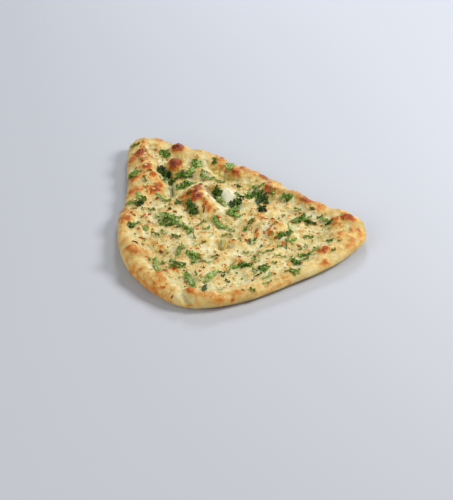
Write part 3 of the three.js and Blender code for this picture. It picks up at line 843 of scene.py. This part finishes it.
# The larger bits: pixel x and y in the photograph, length and width in millimetres, turn in degrees, and
# shade from 0 for brown to 100 for pale.
LARGE_BITS = [
    (225.5, 246.5, 9, 4.2, 76, 55), (221, 249.5, 5.5, 2.4, 20, 40), (144.6, 185.4, 5.5, 1.8, -60, 70),
    (146.5, 188, 3.2, 1.4, -60, 15), (184, 160, 3, 1.8, 40, 60), (199.5, 171, 3, 2, 20, 50),
    (188.5, 167.5, 3.5, 2.5, 0, 80), (250, 229, 3, 2, 70, 60), (252, 232, 3, 1.5, 50, 30),
    (240, 213, 3, 1.6, 80, 75), (272.5, 238, 4, 2, 10, 45), (279, 232, 3, 2, 30, 60),
    (216, 172.5, 5, 3, 20, 65), (222, 175, 5.5, 3, -20, 75), (227, 177.5, 4, 2.5, 10, 60),
    (233, 186, 5.5, 2, -30, 30), (240, 189, 5, 2.2, 10, 35), (243, 187.5, 6, 1.5, -40, 50),
    (247, 189, 5, 2.4, 60, 50), (179, 156, 4.5, 2.6, 20, 50), (182, 158, 3, 1.8, -30, 70),
    (196, 237, 3.2, 3, 0, 95), (220, 220, 3, 2.4, 0, 80), (209, 217, 3, 2, 20, 50),
    (144, 242, 4, 1.6, -30, 50), (148, 245, 3, 1.5, -30, 30), (201.5, 280, 3, 1.8, 90, 35),
    (218, 261, 3, 2, 30, 30), (202, 257, 3, 2, 60, 50), (132, 219, 4, 1.8, 20, 35),
    (171, 276, 3.4, 2.4, 20, 80), (176, 279, 3.2, 2.2, 120, 70), (248, 275, 3, 2.2, 20, 70),
]
chance = random.Random(23)
bit_meshes = []
for kind_index in range(GARLIC_KINDS):
    lump = bmesh.new()
    bmesh.ops.create_icosphere(lump, subdivisions=2, radius=0.5)
    for vertex in lump.verts:
        vertex.co *= 1 + 0.55 * noise.noise(vertex.co * 2.4 + Vector((kind_index * 5.1, 0, 0)))
    mesh = bpy.data.meshes.new(f"garlic_{kind_index}")
    lump.to_mesh(mesh)
    lump.free()
    mesh.shade_smooth()
    bit_meshes.append(mesh)
rows = []
for x, y, length, width, degrees, tone in LARGE_BITS:
    spot = seen_at(x, y, bread_tree)
    size = (length / 1000, width / 1000, width / 1000 * 0.8)
    turn = (0, 0, math.radians(degrees))
    rows.append((spot.x, spot.y, 0.0003, chance.randrange(GARLIC_KINDS), turn, size, tone / 100))
for x, y in scattered_places(chance, GARLIC_BITS, 0.016, LEVEL):
    long = chance.triangular(0.001, 0.0042, 0.0016)
    size = (long, long * chance.uniform(0.5, 0.9), long * chance.uniform(0.5, 0.7))
    turn = (0, 0, chance.uniform(0, math.tau))
    rows.append((x, y, 0, chance.randrange(GARLIC_KINDS), turn, size, chance.triangular(-0.1, 1, 0.35)))

# Fried garlic: waxy and a little see-through, brown where its edges caught.
GARLIC_BLOTCH = 0.0014
fried_garlic, tree = new_material("fried_minced_garlic")
place = add(tree, "ShaderNodeTexCoord")["Object"]
tone = add(tree, "ShaderNodeAttribute", attribute_name="tone")["Fac"]
blotch = add(tree, "ShaderNodeTexNoise", {"Vector": place, "Scale": 1 / GARLIC_BLOTCH, "Detail": 2})["Fac"]
shade = add(tree, "ShaderNodeMath", {0: blotch, 1: 0.5, 2: tone}, operation="MULTIPLY_ADD")[0]
shade = add(tree, "ShaderNodeMath", {0: shade, 1: 0.25}, operation="SUBTRACT")[0]
colour = add(tree, "ShaderNodeValToRGB", {"Fac": shade}, [
    (0, "#AA4E18"), (1, "#F0EABA"), (0.2, "#D2943A"), (0.4, "#DCBC56"), (0.7, "#E4D47C")])[0]
surface = add(tree, "ShaderNodeBsdfPrincipled", {
    "Base Color": colour, "Roughness": 0.35, "Subsurface Weight": 0.2, "Subsurface Scale": 0.001,
    "Coat Weight": 0.3, "Coat Roughness": 0.15})[0]
add(tree, "ShaderNodeOutputMaterial", {"Surface": surface})
strew("minced_garlic", bit_meshes, rows, fried_garlic, 0.0002)

# Flecks: bits of garlic and its skin, and of red chilli, that fried dark and crisp.
FLECKS = 40
DOME_FLECKS = 28
FLECK_KINDS = 4
# How thick a flake's mesh is, before it is sized.
FLECK_THICKNESS = 0.12
# The top of the low dome, as pixel x and y in the photograph, and how far flecks spread from it in metres.
DOME_TOP = (269, 223)
DOME_SPREAD = (0.0075, 0.009)

# The larger flecks: pixel x and y in the photograph, length and width in millimetres, turn in degrees, and
# shade from 0 for black to 100 for orange.
LARGE_FLECKS = [
    (218.5, 217, 6, 2.6, -35, 60), (204, 209.5, 4.5, 1.4, 80, 15), (203, 206, 3, 1.1, 70, 35),
    (175, 212, 3.6, 2.2, 0, 20), (200.5, 184.5, 3.6, 2.6, 20, 30), (206, 186.5, 3, 1.1, -30, 40),
    (203.5, 181, 2.8, 1.2, 60, 60), (157, 198.8, 3.8, 1.8, 50, 35), (142.4, 238.8, 6.2, 2.2, -18, 40),
    (134.8, 241.7, 5.5, 2.2, -5, 20), (143, 244.5, 3.2, 1.2, -30, 60), (160.7, 252, 3.8, 2, -40, 25),
    (131.5, 212.5, 4, 1.4, 70, 40), (134, 215.5, 3, 1.4, 20, 30), (149.5, 222, 3.2, 1.6, -50, 45),
    (149.5, 214.8, 3, 1.8, 0, 60), (142.8, 216.5, 2.6, 1.2, 10, 50), (150.8, 203, 2.4, 1.4, 60, 35),
    (263, 217.5, 2.8, 1.4, -20, 50), (266, 219, 2.6, 1.3, -20, 55), (273.2, 218.8, 3.4, 2, -40, 30),
    (276.5, 222.5, 3.4, 2, -30, 40), (258, 215, 2.4, 1.2, 60, 50), (255.9, 231.8, 3.6, 1.8, 60, 50),
    (264, 233, 2.4, 1, 80, 60), (269.5, 234.5, 3.4, 1.4, -15, 60), (275.8, 238.2, 2.8, 1.6, 0, 35),
    (283, 217, 2, 1, 70, 60), (288.5, 233, 2.2, 1.2, 0, 70), (243, 235.5, 3.6, 1.6, -20, 60),
    (251, 215.3, 2.6, 1.2, 20, 35), (313.5, 209.5, 3, 2, -20, 30), (295.5, 214.8, 2.2, 1.2, 60, 50),
    (300.5, 213.5, 2.4, 1.6, 0, 35), (299.5, 246.3, 3, 1.6, -10, 40), (239.5, 256.5, 3.2, 2, -20, 45),
    (267.5, 258.8, 2.6, 1.4, 0, 55), (273, 257.3, 2.2, 1, 40, 60), (243, 290.5, 3, 1.4, -10, 50),
    (164.5, 287.8, 2.2, 1.2, 20, 50), (172, 297.5, 2.6, 1.4, 10, 55), (184, 271, 1.6, 1.2, 0, 5),
    (193.5, 206, 3, 1.4, 30, 30), (186, 210.5, 2.6, 1.2, 0, 35), (191, 216.5, 2.4, 1.4, -30, 60),
    (197.5, 229, 3, 1.2, 0, 60), (215.3, 252.3, 2, 1.2, 0, 50), (216, 259, 2.8, 1.4, 20, 40),
    (198, 248.5, 2.6, 1.2, 20, 70), (208, 195.5, 2.2, 1.2, -60, 50), (231, 214.5, 1.6, 1.2, 0, 10),
    (167, 221.5, 2, 1.2, 0, 30), (156, 233.5, 2.4, 1.4, 0, 35), (136, 168.5, 2.4, 1.2, 50, 50),
    (141, 171.8, 2.2, 1.4, 0, 50), (147.5, 171, 2.4, 1.2, 40, 35), (234, 172, 2, 1.2, 0, 35),
]


def flake_rows(chance):
    """A curled chip, thin and ragged, as rows of places in shares of its length."""
    return [[((step / 3 - 0.5) * chance.uniform(0.85, 1.1), (side - 1) * chance.uniform(0.35, 0.55),
              0.1 + 0.22 * (side - 1) ** 2 + chance.uniform(-0.08, 0.08)) for side in range(3)]
            for step in range(4)]


chance = random.Random(31)
flake_meshes = [closed_sheet(f"flake_{index}", flake_rows(chance), FLECK_THICKNESS)
                for index in range(FLECK_KINDS)]
rows = []
for x, y, length, width, degrees, tone in LARGE_FLECKS:
    spot = seen_at(x, y, bread_tree)
    size, turn = (length / 1000, width / 1000, 0.0022), (0, 0, math.radians(degrees))
    rows.append((spot.x, spot.y, 0, chance.randrange(FLECK_KINDS), turn, size, tone / 100))
for x, y in scattered_places(chance, FLECKS, 0.014, LEVEL):
    long = chance.uniform(0.001, 0.0024)
    size = (long, long * chance.uniform(0.4, 0.8), 0.0016)
    kind_index, turn = chance.randrange(FLECK_KINDS), (0, 0, chance.uniform(0, math.tau))
    rows.append((x, y, 0, kind_index, turn, size, chance.uniform(0.55, 1)))
dome_top = seen_at(*DOME_TOP, bread_tree)
for _ in range(DOME_FLECKS):
    long = chance.uniform(0.0012, 0.003)
    size = (long, long * chance.uniform(0.3, 0.7), 0.0018)
    x, y = (middle + chance.gauss(0, spread) for middle, spread in zip(dome_top, DOME_SPREAD))
    kind_index, turn = chance.randrange(FLECK_KINDS), (0, 0, chance.uniform(0, math.tau))
    rows.append((x, y, 0, kind_index, turn, size, chance.uniform(0.5, 1)))

# Crisp and glassy where the butter fried it: almost black through red-brown to orange.
dark_fleck, tree = new_material("fried_dark_fleck")
tone = add(tree, "ShaderNodeAttribute", attribute_name="tone")["Fac"]
colour = add(tree, "ShaderNodeValToRGB", {"Fac": tone}, [
    (0, "#180A04"), (1, "#DE9440"), (0.3, "#883810"), (0.6, "#C0641C")])[0]
surface = add(tree, "ShaderNodeBsdfPrincipled", {
    "Base Color": colour, "Roughness": 0.4, "Specular IOR Level": 0.2, "Coat Weight": 0.08,
    "Coat Roughness": 0.2})[0]
add(tree, "ShaderNodeOutputMaterial", {"Surface": surface})
strew("fried_flecks", flake_meshes, rows, dark_fleck, -0.0001)

# A plain pale floor, and the soft light of a studio: a broad lamp high on the right, a wider and fainter one
# on the left in front, one behind that draws the butter's shine, and an even light from all round.
bpy.context.scene.view_settings.view_transform = "Standard"
FLOOR_SIZE = 6.0
FLOOR_GAP = 0.0002
floor_mesh = bpy.data.meshes.new("floor")
half = FLOOR_SIZE / 2
floor_mesh.from_pydata([(-half, -half, 0), (half, -half, 0), (half, half, 0), (-half, half, 0)], [],
                       [(0, 1, 2, 3)])
floor = placed("floor", floor_mesh)
floor.location.z = -FLOOR_GAP
matt_paint, tree = new_material("matt_floor_paint")
surface = add(tree, "ShaderNodeBsdfPrincipled", {
    "Base Color": linear("#C4CBD8"), "Roughness": 0.9, "Specular IOR Level": 0.1})[0]
add(tree, "ShaderNodeOutputMaterial", {"Surface": surface})
floor_mesh.materials.append(matt_paint)

for name, at, size, watts, tint in (
        ("main_lamp", (0.95, 0.05, 0.8), 0.45, 12.2, "#FFF8F0"),
        ("fill_lamp", (-0.9, -0.9, 0.7), 0.9, 7.2, "#FFF6EC"),
        ("back_lamp", (0.1, 1.05, 0.75), 0.35, 6, "#FFFFFF")):
    lamp_data = bpy.data.lights.new(name, "AREA")
    lamp_data.shape = "DISK"
    lamp_data.size = size
    lamp_data.energy = watts
    lamp_data.color = linear(tint)[:3]
    lamp = placed(name, lamp_data)
    lamp.location = at
    lamp.rotation_euler = Vector(at).to_track_quat("Z", "Y").to_euler()
world = bpy.data.worlds.new("studio")
world.use_nodes = True
background = world.node_tree.nodes["Background"].inputs
background["Color"].default_value = linear("#FFFCF6")
background["Strength"].default_value = 0.29
bpy.context.scene.world = world
